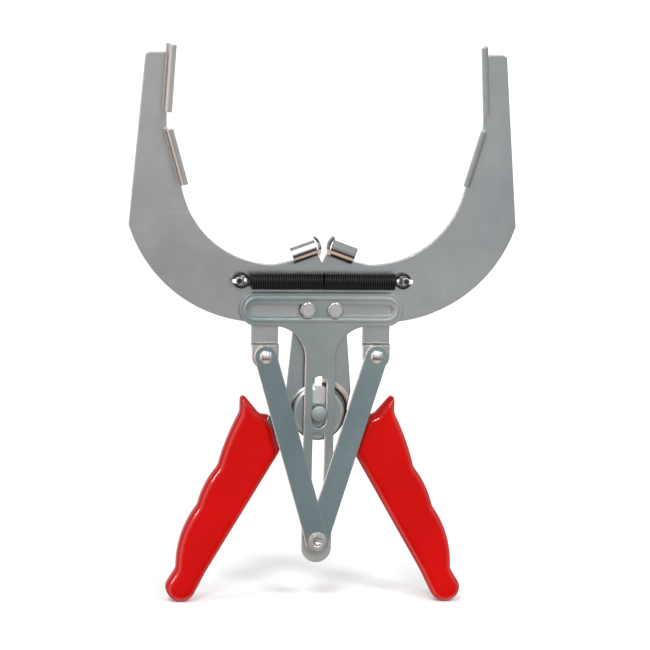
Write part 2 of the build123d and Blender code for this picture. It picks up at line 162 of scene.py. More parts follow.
def remap(tree, factor, fromLow, fromHigh, toLow, toHigh):
    node = addNode(tree, "ShaderNodeMapRange", links={"Value": factor},
                   values={"From Min": fromLow, "From Max": fromHigh, "To Min": toLow, "To Max": toHigh})
    return node.outputs["Result"]


def addMath(tree, operation, first, second):
    node = tree.nodes.new("ShaderNodeMath")
    node.operation = operation
    for socket, value in zip(node.inputs, (first, second)):
        if isinstance(value, bpy.types.NodeSocket):
            tree.links.new(value, socket)
        else:
            socket.default_value = value
    return node.outputs[0]


# where the Mix node keeps its colour sockets
mixInputs = {"factor": 0, "first": 6, "second": 7}
mixOutput = 2


def mixColors(tree, factor, first, second, blend="MIX"):
    node = tree.nodes.new("ShaderNodeMix")
    node.data_type = "RGBA"
    node.blend_type = blend
    sockets = [node.inputs[place] for place in mixInputs.values()]
    for socket, value in zip(sockets, (factor, first, second)):
        if isinstance(value, bpy.types.NodeSocket):
            tree.links.new(value, socket)
        elif socket.type == "RGBA":
            socket.default_value = (*value, 1.0)
        else:
            socket.default_value = value
    return node.outputs[mixOutput]


def addBumps(tree, shader, layers, normal=None):
    for height, strength, distance in layers:
        node = addNode(tree, "ShaderNodeBump", links={"Height": height},
                       values={"Strength": strength, "Distance": distance})
        if normal:
            tree.links.new(normal, node.inputs["Normal"])
        normal = node.outputs["Normal"]
    tree.links.new(normal, shader.inputs["Normal"])


wornAndLitEdge = {"radius": 0.7 * mm, "samples": 4, "turn": (0.995, 0.82, 0.0, 1.0)}


def edgeMask(tree):
    # 1 on edges, 0 on flats, for edges painted lighter as wear and as painted highlight: how far a rounded
    # normal turns from the true one
    rounded = addNode(tree, "ShaderNodeBevel", values={"Radius": wornAndLitEdge["radius"]})
    rounded.samples = wornAndLitEdge["samples"]
    geometry = tree.nodes.new("ShaderNodeNewGeometry")
    dot = addNode(tree, "ShaderNodeVectorMath", operation="DOT_PRODUCT")
    tree.links.new(rounded.outputs["Normal"], dot.inputs[0])
    tree.links.new(geometry.outputs["Normal"], dot.inputs[1])
    return rounded.outputs["Normal"], remap(tree, dot.outputs["Value"], *wornAndLitEdge["turn"])


def addNoises(tree, coords, settings):
    # one noise for each entry, by name
    return {name: addNoise(tree, coords, **values) for name, values in settings.items()}


def separateAxes(tree, vector):
    return addNode(tree, "ShaderNodeSeparateXYZ", links={"Vector": vector}).outputs


# finishes

pivotCenter = (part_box("pivot_rivet")[0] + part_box("pivot_rivet")[1]) / 2
springCenter = (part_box("tension_spring")[0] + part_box("tension_spring")[1]) / 2
# the brown and the near-black here are for painted shade, the cream for painted highlight
brown, cream, shadowBlack = (0.035, 0.02, 0.014), (0.80, 0.70, 0.60), (0.006, 0.006, 0.007)

# marks are rings of another colour round a pin, the same on both sides of the tool, in mm; most are painted
# shade and painted highlight
pivotPlace = (0.0, pivotCenter.z / mm)
slotRise = 8.6
slotPlace = (0.0, pivotPlace[1] + slotRise)
guidePlace = (6.2, 134.1)
footPlace = (0.0, 29.1)
# the right entry of each steel is painted light: how much lighter or darker that steel is painted on the
# right side of the tool
steelLooks = {
    "guideSteel": {"clean": (0.212, 0.258, 0.262), "dull": (0.168, 0.214, 0.222), "rough": 0.42,
                   "right": (1.40, 1.25, 1.20), "leftLight": 0.9, "edge": 0.2,
                   "marks": ((footPlace, 5.0, 14.0, (0.42, 0.41, 0.40), 0.6),)},
    "jawSteel": {"clean": (0.375, 0.378, 0.378), "dull": (0.30, 0.31, 0.315), "rough": 0.3,
                 "right": (0.93, 0.97, 0.98), "leftLight": 0.4, "edge": 0.6, "marks": (), "ears": True},
    "linkSteel": {"clean": (0.19, 0.245, 0.262), "dull": (0.145, 0.195, 0.213), "rough": 0.3,
                  "right": (1.32, 1.27, 1.22), "leftLight": 0.9, "edge": 0.6, "marks": ()},
    "frontArmSteel": {"clean": (0.29, 0.325, 0.33), "dull": (0.215, 0.25, 0.255), "rough": 0.3,
                      "right": (1.25, 1.2, 1.18), "leftLight": 0.0, "edge": 0.6,
                      # painted light round the hub: a cream painted highlight on the step, a brown painted
                      # shadow along the hub's edge, and the part seen through the slot painted lighter
                      "marks": ((pivotPlace, 10.2, 11.2, cream, 0.2), (pivotPlace, 11.8, 12.6, brown, 0.88),
                                (slotPlace, 0.0, 4.6, (0.60, 0.61, 0.60), 0.75))},
    "rearArmSteel": {"clean": (0.29, 0.325, 0.33), "dull": (0.215, 0.25, 0.255), "rough": 0.3,
                     "right": (1.25, 1.2, 1.18), "leftLight": 0.0, "edge": 0.6,
                     # painted light round the hub: a cream painted highlight outside it and a brown painted
                     # shadow along the edge of the front hub
                     "marks": ((pivotPlace, 13.8, 15.8, (0.95, 0.87, 0.80), 0.85),
                               (pivotPlace, 12.6, 13.5, brown, 0.8))},
    "rivetSteel": {"clean": (0.48, 0.48, 0.48), "dull": (0.38, 0.385, 0.39), "rough": 0.22,
                   "right": (1.0, 1.0, 1.0), "leftLight": 0.0, "edge": 0.5,
                   # painted shade as a dark ring round each guide rivet's head, and a painted highlight in
                   # its middle
                   "marks": ((guidePlace, 2.7, 3.3, (0.20, 0.20, 0.20), 0.45),
                             (guidePlace, 0.5, 2.2, (0.55, 0.55, 0.56), 0.35))},
    "pivotSteel": {"clean": (0.27, 0.31, 0.31), "dull": (0.22, 0.26, 0.26), "rough": 0.5,
                   "right": (1.0, 1.0, 1.0), "leftLight": 0.0, "edge": 0.5,
                   # painted shade as a dark rim round the pivot head, and a lighter ring in its middle
                   "marks": ((pivotPlace, 3.3, 4.2, (0.08, 0.08, 0.08), 0.5),
                             (pivotPlace, 0.8, 1.3, (0.42, 0.44, 0.44), 0.35))},
}
# what every steel has in common: noises, then how each is turned into a colour, a share or a roughness
steelNoise = {
    "cloud": {"scale": 18.0, "detail": 4.0},
    "bloom": {"scale": 85.0, "detail": 3.0, "rough": 0.6},
    "grain": {"scale": 900.0, "detail": 2.0, "rough": 0.6, "stretch": (1.0, 1.0, 0.12)},
    "scratch": {"scale": 420.0, "detail": 1.0, "rough": 0.4, "stretch": (0.03, 1.0, 1.0),
                "turn": (0, 0.7, 0)},
    "specks": {"scale": 640.0, "detail": 1.0},
}
steelWear = {
    "mottle": (0.36, 0.64, 0.0, 1.0),
    "stain": (0.60, 0.74, 0.0, 0.25), "stainShade": 0.75,
    # sides spreads that painted light from the left side of the tool to the right
    "sides": (-30.0 * mm, 30.0 * mm, 0.0, 1.0),
    "fine": (0.3, 0.7, 0.98, 1.02),
    "line": (0.70, 0.73, 0.0, 0.07), "lineShade": 1.5,
    "pit": (0.74, 0.80, 0.0, 0.35), "pitColor": (0.55, 0.54, 0.52),
    "edgeWearAndSheen": (0.74, 0.64, 0.57),
    "markSoft": 0.25 * mm,
    "roughSpread": (-0.04, 0.08),
    # painted highlight on cut edges that face left
    "leftLightTurn": (-0.12, -0.45), "leftLightColor": (0.86, 0.76, 0.74), "leftLightRough": 0.35,
    "leftLightFade": (121.0 * mm, 125.0 * mm, 1.0, 0.25),
    "bumps": {"grain": (0.04, 0.2 * mm), "bloom": (0.05, 0.6 * mm), "specks": (0.03, 0.2 * mm)},
}
tonguePlace = (37.9, springCenter.z / mm)


def distanceXZ(tree, coords, place):
    # distance from a pin in the X and Z plane, with the left side folded onto the right
    axes = separateAxes(tree, coords)
    across = addMath(tree, "ABSOLUTE", axes["X"], 0.0)
    dx = addMath(tree, "SUBTRACT", across, place[0] * mm)
    dz = addMath(tree, "SUBTRACT", axes["Z"], place[1] * mm)
    total = addMath(tree, "ADD", addMath(tree, "MULTIPLY", dx, dx), addMath(tree, "MULTIPLY", dz, dz))
    return addMath(tree, "SQRT", total, 0.0)


def bandMask(tree, value, inner, outer, soft, strength):
    # strength between inner and outer, fading to 0 over soft
    rise = remap(tree, value, inner - soft, inner + soft, 0.0, strength)
    fall = remap(tree, value, outer - soft, outer + soft, 1.0, 0.0)
    return addMath(tree, "MULTIPLY", rise, fall)


# marks on the jaws, in mm; a band is (start, end, colour, share), a fade is (full, gone) or (gone, full)
# most jaw marks are painted light: painted shade in the ear steps and under the tongues, painted reflections
# on the tabs, a painted highlight on the tongue tips
jawMarks = {
    "earStepShade": (118.25, 118.95, brown, 0.95), "earSoft": 0.1,
    "front": (-2.0, -2.3),                     # Y of what stands in front of the sheet
    "tabFoot": (13.2, 156.2), "tabSlope": (0.342, 0.940), "tabEnd": (16.0, 17.0), "tabSoft": 0.25,
    "tabBands": ((-1.0, 1.6, (0.72, 0.60, 0.50), 0.6), (1.7, 2.7, (0.05, 0.022, 0.016), 0.92),
                 (2.9, 12.0, (0.085, 0.087, 0.087), 0.97)),
    "leftShine": (3.1, 5.0, (0.46, 0.455, 0.45), 0.9), "leftFade": (-1.0, 1.0),
    "clawX": (6.0, 7.0), "clawY": (-3.5, -2.5), "clawZ": (160.6, 161.4),
    "clawColor": (0.16, 0.165, 0.165), "clawShare": 0.9,
    "tongueReach": (6.0, 6.8), "tongueTipX": (38.9, 39.6), "tongueRough": 0.3,
    "tongueColor": (0.40, 0.40, 0.395), "tongueTipHighlight": (0.92, 0.90, 0.88),
    "holeShade": (1.1, 1.4), "holeShadeShare": 0.95,
}


def fadeMm(tree, value, places, start, end):
    # start before the first place, end past the second, both in mm
    return remap(tree, value, places[0] * mm, places[1] * mm, start, end)


def paintBand(tree, color, value, band, soft, where=None):
    # a band of another colour along value, only where the mask allows
    start, end, shade, share = band
    mask = bandMask(tree, value, start * mm, end * mm, soft * mm, share)
    if where is not None:
        mask = addMath(tree, "MULTIPLY", mask, where)
    return mixColors(tree, mask, color, shade)


def markTabs(tree, axes, across, forward, color):
    # reflections on the rolled tabs, by height above the foot of a tab
    marks = jawMarks
    (footX, footZ), (slopeX, slopeZ) = marks["tabFoot"], marks["tabSlope"]
    side = addMath(tree, "MULTIPLY", addMath(tree, "SUBTRACT", across, footX * mm), slopeX)
    rise = addMath(tree, "MULTIPLY", addMath(tree, "SUBTRACT", axes["Z"], footZ * mm), slopeZ)
    height = addMath(tree, "ADD", side, rise)
    onTab = addMath(tree, "MULTIPLY", forward, fadeMm(tree, across, marks["tabEnd"], 1.0, 0.0))
    for band in marks["tabBands"]:
        color = paintBand(tree, color, height, band, marks["tabSoft"], onTab)
    leftTab = addMath(tree, "MULTIPLY", onTab, fadeMm(tree, axes["X"], marks["leftFade"], 1.0, 0.0))
    return paintBand(tree, color, height, marks["leftShine"], marks["tabSoft"], leftTab)


def markJaw(tree, coords, axes, color, rough):
    # painted shade in the step of each ear, painted reflections in bands on the rolled tabs, the claws in a
    # darker grey, and the tongues in the spring's loops painted grey with a painted highlight and a painted
    # shadow
    marks = jawMarks
    # painted shade along the step of each ear
    color = paintBand(tree, color, axes["Z"], marks["earStepShade"], marks["earSoft"])
    across = addMath(tree, "ABSOLUTE", axes["X"], 0.0)
    forward = fadeMm(tree, axes["Y"], marks["front"], 0.0, 1.0)
    color = markTabs(tree, axes, across, forward, color)
    claws = addMath(tree, "MULTIPLY", fadeMm(tree, across, marks["clawX"], marks["clawShare"], 0.0),
                    fadeMm(tree, axes["Z"], marks["clawZ"], 0.0, 1.0))
    claws = addMath(tree, "MULTIPLY", claws, fadeMm(tree, axes["Y"], marks["clawY"], 0.0, 1.0))
    color = mixColors(tree, claws, color, marks["clawColor"])
    near = distanceXZ(tree, coords, tonguePlace)
    onTongue = addMath(tree, "MULTIPLY", forward, fadeMm(tree, near, marks["tongueReach"], 1.0, 0.0))
    # the tongues painted grey, with a painted highlight on their tips
    tip = fadeMm(tree, across, marks["tongueTipX"], 0.0, 1.0)
    shade = mixColors(tree, tip, marks["tongueColor"], marks["tongueTipHighlight"])
    color = mixColors(tree, onTongue, color, shade)
    # painted shadow: a black spot where the tongue shades the window in the jaw under it
    color = mixColors(tree, fadeMm(tree, near, marks["holeShade"], marks["holeShadeShare"], 0.0), color, shadowBlack)
    rough = addMath(tree, "ADD", rough, addMath(tree, "MULTIPLY", onTongue, marks["tongueRough"]))
    return color, rough


def platedSteel(name):
    look, wear = steelLooks[name], steelWear
    material, tree, shader, coords = newMaterial(name)
    noise = addNoises(tree, coords, steelNoise)
    rounded, edge = edgeMask(tree)
    color = mixColors(tree, remap(tree, noise["cloud"], *wear["mottle"]), look["dull"], look["clean"])
    stain = remap(tree, noise["bloom"], *wear["stain"])
    color = mixColors(tree, stain, color, tuple(part * wear["stainShade"] for part in look["clean"]))
    axes = separateAxes(tree, coords)
    # painted light: the right side of the tool is painted in another shade, standing for the light that
    # falls there
    sideLight = mixColors(tree, remap(tree, axes["X"], *wear["sides"]), (1.0, 1.0, 1.0), look["right"])
    color = mixColors(tree, 1.0, color, sideLight, "MULTIPLY")
    fine = remap(tree, noise["grain"], *wear["fine"])
    fineColor = addNode(tree, "ShaderNodeCombineColor", links={"Red": fine, "Green": fine, "Blue": fine})
    color = mixColors(tree, 1.0, color, fineColor.outputs["Color"], "MULTIPLY")
    line = remap(tree, noise["scratch"], *wear["line"])
    bright = tuple(min(1.0, part * wear["lineShade"]) for part in look["clean"])
    color = mixColors(tree, line, color, bright)
    color = mixColors(tree, remap(tree, noise["specks"], *wear["pit"]), color, wear["pitColor"])
    # edges painted lighter and warmer, partly as wear and partly as painted highlight
    color = mixColors(tree, addMath(tree, "MULTIPLY", edge, look["edge"]), color, wear["edgeWearAndSheen"])
    for place, inner, outer, shade, strength in look["marks"]:
        near = distanceXZ(tree, coords, place)
        mask = bandMask(tree, near, inner * mm, outer * mm, wear["markSoft"], strength)
        color = mixColors(tree, mask, color, shade)
    lessRough, moreRough = (look["rough"] + part for part in wear["roughSpread"])
    rough = remap(tree, noise["bloom"], 0.3, 0.7, lessRough, moreRough)
    if look.get("ears"):
        color, rough = markJaw(tree, coords, axes, color, rough)
    # painted highlight: cut edges that face left are painted brighter, as if lit from the left, and made
    # duller; least so on the bead
    leftLighted = remap(tree, separateAxes(tree, rounded)["X"], *wear["leftLightTurn"], 0.0, look["leftLight"])
    leftLighted = addMath(tree, "MULTIPLY", leftLighted, remap(tree, axes["Z"], *wear["leftLightFade"]))
    color = mixColors(tree, leftLighted, color, wear["leftLightColor"])
    rough = addMath(tree, "ADD", rough, addMath(tree, "MULTIPLY", leftLighted, wear["leftLightRough"]))
    tree.links.new(color, shader.inputs["Base Color"])
    tree.links.new(rough, shader.inputs["Roughness"])
    shader.inputs["Metallic"].default_value = 1.0
    addBumps(tree, shader, [(noise[part], *bump) for part, bump in wear["bumps"].items()], rounded)
    return material


vinylNoise = {
    "cloud": {"scale": 30.0, "detail": 3.0},
    "dimple": {"scale": 260.0, "detail": 2.0},
    "dust": {"scale": 900.0, "detail": 2.0},
}
vinylLook = {
    "red": (0.385, 0.0022, 0.0016), "deep": (0.335, 0.0018, 0.0013), "mottle": (0.35, 0.65, 0.0, 1.0),
    "dust": (0.72, 0.8, 0.0, 0.12), "dustColor": (0.6, 0.06, 0.05),
    "rough": (0.3, 0.7, 0.18, 0.27), "specular": 0.03,
    "coatFlat": 0.06, "coatTurned": 0.94, "coatBand": (0.62, 0.9), "coatSoft": 0.08, "coatRough": 0.05,
    "bumps": {"cloud": (0.10, 2.0 * mm), "dimple": (0.025, 0.5 * mm)},
}


def redVinyl():
    look = vinylLook
    material, tree, shader, coords = newMaterial("redVinyl")
    noise = addNoises(tree, coords, vinylNoise)
    color = mixColors(tree, remap(tree, noise["cloud"], *look["mottle"]), look["deep"], look["red"])
    color = mixColors(tree, remap(tree, noise["dust"], *look["dust"]), color, look["dustColor"])
    tree.links.new(color, shader.inputs["Base Color"])
    tree.links.new(remap(tree, noise["cloud"], *look["rough"]), shader.inputs["Roughness"])
    shader.inputs["Specular IOR Level"].default_value = look["specular"]
    # the dip runs thicker and glossier where the surface turns away from the flat sides
    normal = tree.nodes.new("ShaderNodeNewGeometry").outputs["Normal"]
    turned = addMath(tree, "ABSOLUTE", separateAxes(tree, normal)["Y"], 0.0)
    coat = bandMask(tree, turned, *look["coatBand"], look["coatSoft"], look["coatTurned"])
    coat = addMath(tree, "ADD", coat, look["coatFlat"])
    tree.links.new(coat, shader.inputs["Coat Weight"])
    shader.inputs["Coat Roughness"].default_value = look["coatRough"]
    addBumps(tree, shader, [(noise[part], *bump) for part, bump in look["bumps"].items()])
    return material


enamelNoise = {
    "cloud": {"scale": 220.0, "detail": 3.0},
    "rub": {"scale": 600.0, "detail": 2.0},
}
enamelLook = {"black": (0.002, 0.002, 0.0025), "grey": (0.005, 0.0055, 0.006),
              "rub": (0.66, 0.74, 0.0, 0.3), "rubColor": (0.02, 0.022, 0.023),
              "rough": 0.36, "specular": 0.18, "bump": (0.05, 0.3 * mm)}


def blackEnamel():
    look = enamelLook
    material, tree, shader, coords = newMaterial("blackEnamel")
    noise = addNoises(tree, coords, enamelNoise)
    color = mixColors(tree, noise["cloud"], look["black"], look["grey"])
    color = mixColors(tree, remap(tree, noise["rub"], *look["rub"]), color, look["rubColor"])
    tree.links.new(color, shader.inputs["Base Color"])
    shader.inputs["Roughness"].default_value = look["rough"]
    shader.inputs["Specular IOR Level"].default_value = look["specular"]
    addBumps(tree, shader, [(noise["cloud"], *look["bump"])])
    return material


def dress(names, material):
    for name in names:
        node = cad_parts[name]
        node.data.materials.clear()
        node.data.materials.append(material)


steels = {name: platedSteel(name) for name in steelLooks}
vinyl = redVinyl()
enamel = blackEnamel()
dress(["guide_plate"], steels["guideSteel"])
dress(["pivot_rivet", "pivot_spacer"], steels["pivotSteel"])
dress(["left_jaw", "right_jaw"], steels["jawSteel"])
dress(["left_link", "right_link"], steels["linkSteel"])
dress(["left_handle_plate"], steels["frontArmSteel"])
dress(["right_handle_plate"], steels["rearArmSteel"])
dress([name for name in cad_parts
       if name.endswith(("rivet", "washer", "bush")) and name != "pivot_rivet"], steels["rivetSteel"])
print("materials on")


# grips: dipped vinyl sleeves, drawn for the right side in mm and mirrored for the left

gripShape = {
    "step": 0.55,          # spacing of points round the outline
    "sectionDepth": 1.4,   # where the CAD grip is cut to find its outline, behind its front face
    "soften": 5,
    "edgeRound": 3.2,
    "wallShare": 0.42,
    "crown": 0.3,
    "rim": [(17.6, 72.0), (20.4, 81.0), (24.2, 86.0), (27.4, 87.4), (33.6, 94.4)],
    "rimDrop": 1.5,
    "rimReach": 4.2,
    "ringDepths": (0.12, 0.4, 0.8, 1.3, 1.9, 2.6, 3.4),
    "fineDepth": 1.0,      # rings deeper than this use every second point
    "ringSlack": 0.93,
    "gridStep": 1.5,
    "gridSlack": 0.4,
    "crownReach": 8.0,
    "sharpAngle": 50.0,
    "weld": 2e-6,
}


def resample(points, step):
    # evenly spaced points round a closed loop
    samples, spare = [], 0.0
    for start, end in zip(points, points[1:] + points[:1]):
        length = (end - start).length
        place = spare
        while place < length:
            samples.append(start.lerp(end, place / length))
            place += step
        spare = place - length
    return samples


def gripOutline():
    # the outline of the CAD grip in X and Z, in mm, clockwise as seen from the front
    work = bmesh.new()
    work.from_mesh(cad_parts["right_grip"].data)
    bmesh.ops.remove_doubles(work, verts=work.verts, dist=weldDistance)
    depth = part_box("right_grip")[0].y + gripShape["sectionDepth"] * mm
    geometry = work.verts[:] + work.edges[:] + work.faces[:]
    cut = bmesh.ops.bisect_plane(work, geom=geometry, plane_co=(0, depth, 0), plane_no=(0, 1, 0),
                                 dist=weldDistance / 10)["geom_cut"]
    links = {}
    for edge in cut:
        if isinstance(edge, bmesh.types.BMEdge):
            a, b = edge.verts
            links.setdefault(a, []).append(b)
            links.setdefault(b, []).append(a)
    start = min(links, key=lambda vert: vert.co.z)
    loop, last, here = [start], None, start
    while True:
        ahead = [vert for vert in links[here] if vert is not last]
        last, here = here, ahead[0]
        if here is start:
            break
        loop.append(here)
    points = [Vector((vert.co.x, vert.co.z)) / mm for vert in loop]
    work.free()
    area = sum(a.x * b.y - b.x * a.y for a, b in zip(points, points[1:] + points[:1]))
    if area > 0:
        points.reverse()
    points = resample(points, gripShape["step"])
    for _ in range(gripShape["soften"]):
        points = [(points[i - 1] + 2 * points[i] + points[(i + 1) % len(points)]) / 4
                  for i in range(len(points))]
    return points


def distanceTo(point, path, closed=True):
    best = math.inf
    last = len(path) if closed else len(path) - 1
    for i in range(last):
        a, b = path[i], path[(i + 1) % len(path)]
        run = b - a
        share = max(0.0, min(1.0, (point - a).dot(run) / run.length_squared))
        best = min(best, (a + run * share - point).length_squared)
    return math.sqrt(best)


def insideLoop(point, loop):
    inside = False
    for i in range(len(loop)):
        a, b = loop[i - 1], loop[i]
        if (a.y > point.y) != (b.y > point.y):
            crossing = (b.x - a.x) * (point.y - a.y) / (b.y - a.y) + a.x
            if point.x < crossing:
                inside = not inside
    return inside


def gripMesh(name):
    shape = gripShape
    loop = gripOutline()
    count = len(loop)
    spots = list(loop)
    # rings of points set in from the edge carry the rounding, a coarse grid fills the flat face
    for depth in shape["ringDepths"]:
        stride = 1 if depth < shape["fineDepth"] else 2
        for i in range(0, count, stride):
            along = loop[(i + 1) % count] - loop[i - 1]
            inward = Vector((along.y, -along.x)).normalized()
            spot = loop[i] + inward * depth
            if insideLoop(spot, loop) and distanceTo(spot, loop) > depth * shape["ringSlack"]:
                spots.append(spot)
    xs = [p.x for p in loop]
    zs = [p.y for p in loop]
    grid = shape["gridStep"]
    deepest = shape["ringDepths"][-1]
    for column in range(int((max(xs) - min(xs)) / grid) + 1):
        for row in range(int((max(zs) - min(zs)) / grid) + 1):
            spot = Vector((min(xs) + column * grid, min(zs) + row * grid))
            if insideLoop(spot, loop) and distanceTo(spot, loop) > deepest + grid * shape["gridSlack"]:
                spots.append(spot)
    edges = [(i, (i + 1) % count) for i in range(count)]
    flat, _, faces, _, _, _ = delaunay_2d_cdt(spots, edges, [], 1, 1e-5)
    frontY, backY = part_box("right_grip")[0].y / mm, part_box("right_grip")[1].y / mm
    half = (backY - frontY) / 2
    center = (backY + frontY) / 2
    rim = [Vector(place) for place in shape["rim"]]
    heights = []
    for spot in flat:
        depth = distanceTo(spot, loop)
        rise = min(1.0, depth / shape["edgeRound"])
        wall = half * shape["wallShare"]
        height = wall + (half - wall) * math.sqrt(max(0.0, 1 - (1 - rise) ** 2))
        height += shape["crown"] * (min(1.0, depth / shape["crownReach"]) - 1.0)
        near = max(0.0, 1 - distanceTo(spot, rim, closed=False) / shape["rimReach"])
        heights.append(height - shape["rimDrop"] * near * near)
    work = bmesh.new()
    layers = []
    for side in (-1, 1):
        layers.append([work.verts.new((p.x * mm, (center + side * h) * mm, p.y * mm))
                       for p, h in zip(flat, heights)])
    for face in faces:
        for layer, order in ((layers[0], 1), (layers[1], -1)):
            work.faces.new([layer[i] for i in face[::order]])
    # an edge that only one face uses is on the rim, and a wall joins the two layers there
    runs = [run for face in faces for run in zip(face, face[1:] + face[:1])]
    known = set(runs)
    for a, b in runs:
        if (b, a) not in known:
            work.faces.new([layers[0][a], layers[0][b], layers[1][b], layers[1][a]])
    return finishMesh(work, name)


# the hollow that takes the tang, along the lower edge of the grip, in mm
pocketShape = {"corner": (16.5, 69.5), "angle": 30.5, "inner": 2.2, "outer": 13.2, "outerEnd": 11.6,
               "from": -16.0, "to": 57.4, "wall": 1.75}


def pocketMesh():
    shape = pocketShape
    angle = math.radians(shape["angle"])
    down = Vector((math.sin(angle), -math.cos(angle)))
    out = Vector((math.cos(angle), math.sin(angle)))
    corner = Vector(shape["corner"])
    places = [(shape["from"], shape["inner"]), (shape["to"], shape["inner"]),
              (shape["to"], shape["outerEnd"]), (shape["from"], shape["outer"])]
    outline = [corner + down * a + out * b for a, b in places]
    boxLow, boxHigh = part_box("right_grip")
    front, back = boxLow.y + shape["wall"] * mm, boxHigh.y - shape["wall"] * mm
    work = bmesh.new()
    rings = [[work.verts.new((p.x * mm, y, p.y * mm)) for p in outline] for y in (front, back)]
    work.faces.new(rings[0])
    work.faces.new(rings[1][::-1])
    for i in range(len(outline)):
        work.faces.new([rings[0][i], rings[0][i - 1], rings[1][i - 1], rings[1][i]])
    return finishMesh(work, "pocket")


def makeGrips():
    body = newPiece("gripBlank", gripMesh("gripBlank"), vinyl)
    pocket = newPiece("pocket", pocketMesh(), vinyl, smooth=False)
    cut = body.modifiers.new("pocket", "BOOLEAN")
    cut.operation = "DIFFERENCE"
    cut.solver = "EXACT"
    cut.object = pocket
    mesh = toMesh(body)
    bpy.data.objects.remove(body)
    bpy.data.objects.remove(pocket)
    tidyMesh(mesh, gripShape["weld"])
    for side, name in bothSides:
        copy = mesh.copy()
        copy.transform(Matrix.Diagonal((side, 1, 1, 1)))
        if side < 0:
            copy.flip_normals()
        piece = newPiece(f"{name}GripSleeve", copy, vinyl)
        for edge in copy.edges:
            edge.use_edge_sharp = False
        copy.set_sharp_from_angle(angle=math.radians(gripShape["sharpAngle"]))
        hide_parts(f"{name}_grip")
        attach(piece, f"{name}_handle")


makeGrips()
print("grips made")


# return spring: two half coils, so each half stretches with its own jaw

springShape = {
    "wire": 1.05 * mm, "wireShare": 0.985, "turns": 31, "sides": 10, "steps": 28, "weld": 1e-7,
    "loopRadius": 3.2 * mm, "loopSteps": 40, "loopStart": 205.0, "loopSweep": 318.0,
    "loopBack": 1.6 * mm, "loopGap": 1.1 * mm,
    "crossSteps": 10, "crossTurn": 0.75 * math.pi, "crossRun": 0.6 * mm, "crossNarrow": 0.25,
    "crossLean": 0.6, "smoothing": 6,
}


def coilTree():
    tree = bpy.data.node_groups.new("halfCoil", "GeometryNodeTree")
    sockets = {}
    for label, kind in (("Turns", "NodeSocketFloat"), ("Coil Radius", "NodeSocketFloat"),
                        ("Length", "NodeSocketFloat"), ("Wire Radius", "NodeSocketFloat"),
                        ("Steps Per Turn", "NodeSocketInt"), ("Wire Sides", "NodeSocketInt"),
                        ("Finish", "NodeSocketMaterial")):
        sockets[label] = tree.interface.new_socket(label, in_out="INPUT", socket_type=kind).identifier
    tree.interface.new_socket("Geometry", in_out="OUTPUT", socket_type="NodeSocketGeometry")
    given = tree.nodes.new("NodeGroupInput").outputs
    spiral = addNode(tree, "GeometryNodeCurveSpiral",
                     links={"Resolution": given["Steps Per Turn"], "Rotations": given["Turns"],
                            "Start Radius": given["Coil Radius"], "End Radius": given["Coil Radius"],
                            "Height": given["Length"]})
    profile = addNode(tree, "GeometryNodeCurvePrimitiveCircle",
                      links={"Resolution": given["Wire Sides"], "Radius": given["Wire Radius"]})
    tube = addNode(tree, "GeometryNodeCurveToMesh", values={"Fill Caps": True},
                   links={"Curve": spiral.outputs["Curve"], "Profile Curve": profile.outputs["Curve"]})
    real = addNode(tree, "GeometryNodeRealizeInstances", links={"Geometry": tube.outputs["Mesh"]})
    finish = addNode(tree, "GeometryNodeSetMaterial",
                     links={"Geometry": real.outputs["Geometry"], "Material": given["Finish"]})
    output = tree.nodes.new("NodeGroupOutput")
    tree.links.new(finish.outputs["Geometry"], output.inputs["Geometry"])
    return tree, sockets


def growCoil(tree, sockets, values):
    holder = bpy.data.objects.new("coilHolder", bpy.data.meshes.new("coilHolder"))
    bpy.context.collection.objects.link(holder)
    modifier = holder.modifiers.new("coil", "NODES")
    modifier.node_group = tree
    for label, value in values.items():
        modifier[sockets[label]] = value
    mesh = toMesh(holder)
    bpy.data.objects.remove(holder)
    return mesh


def tubeAlong(points, radius, sides):
    curve = bpy.data.curves.new("wire", "CURVE")
    curve.dimensions = "3D"
    curve.bevel_depth = radius
    curve.bevel_resolution = max(1, sides // 4)
    curve.use_fill_caps = True
    spline = curve.splines.new("POLY")
    spline.points.add(len(points) - 1)
    for spot, point in zip(spline.points, points):
        spot.co = (*point, 1.0)
    holder = bpy.data.objects.new("wire", curve)
    bpy.context.collection.objects.link(holder)
    mesh = toMesh(holder)
    bpy.data.objects.remove(holder)
    return mesh


def smoothPath(points, rounds):
    for _ in range(rounds):
        inner = [(points[i - 1] + 2 * points[i] + points[i + 1]) / 4 for i in range(1, len(points) - 1)]
        points = [points[0], *inner, points[-1]]
    return points


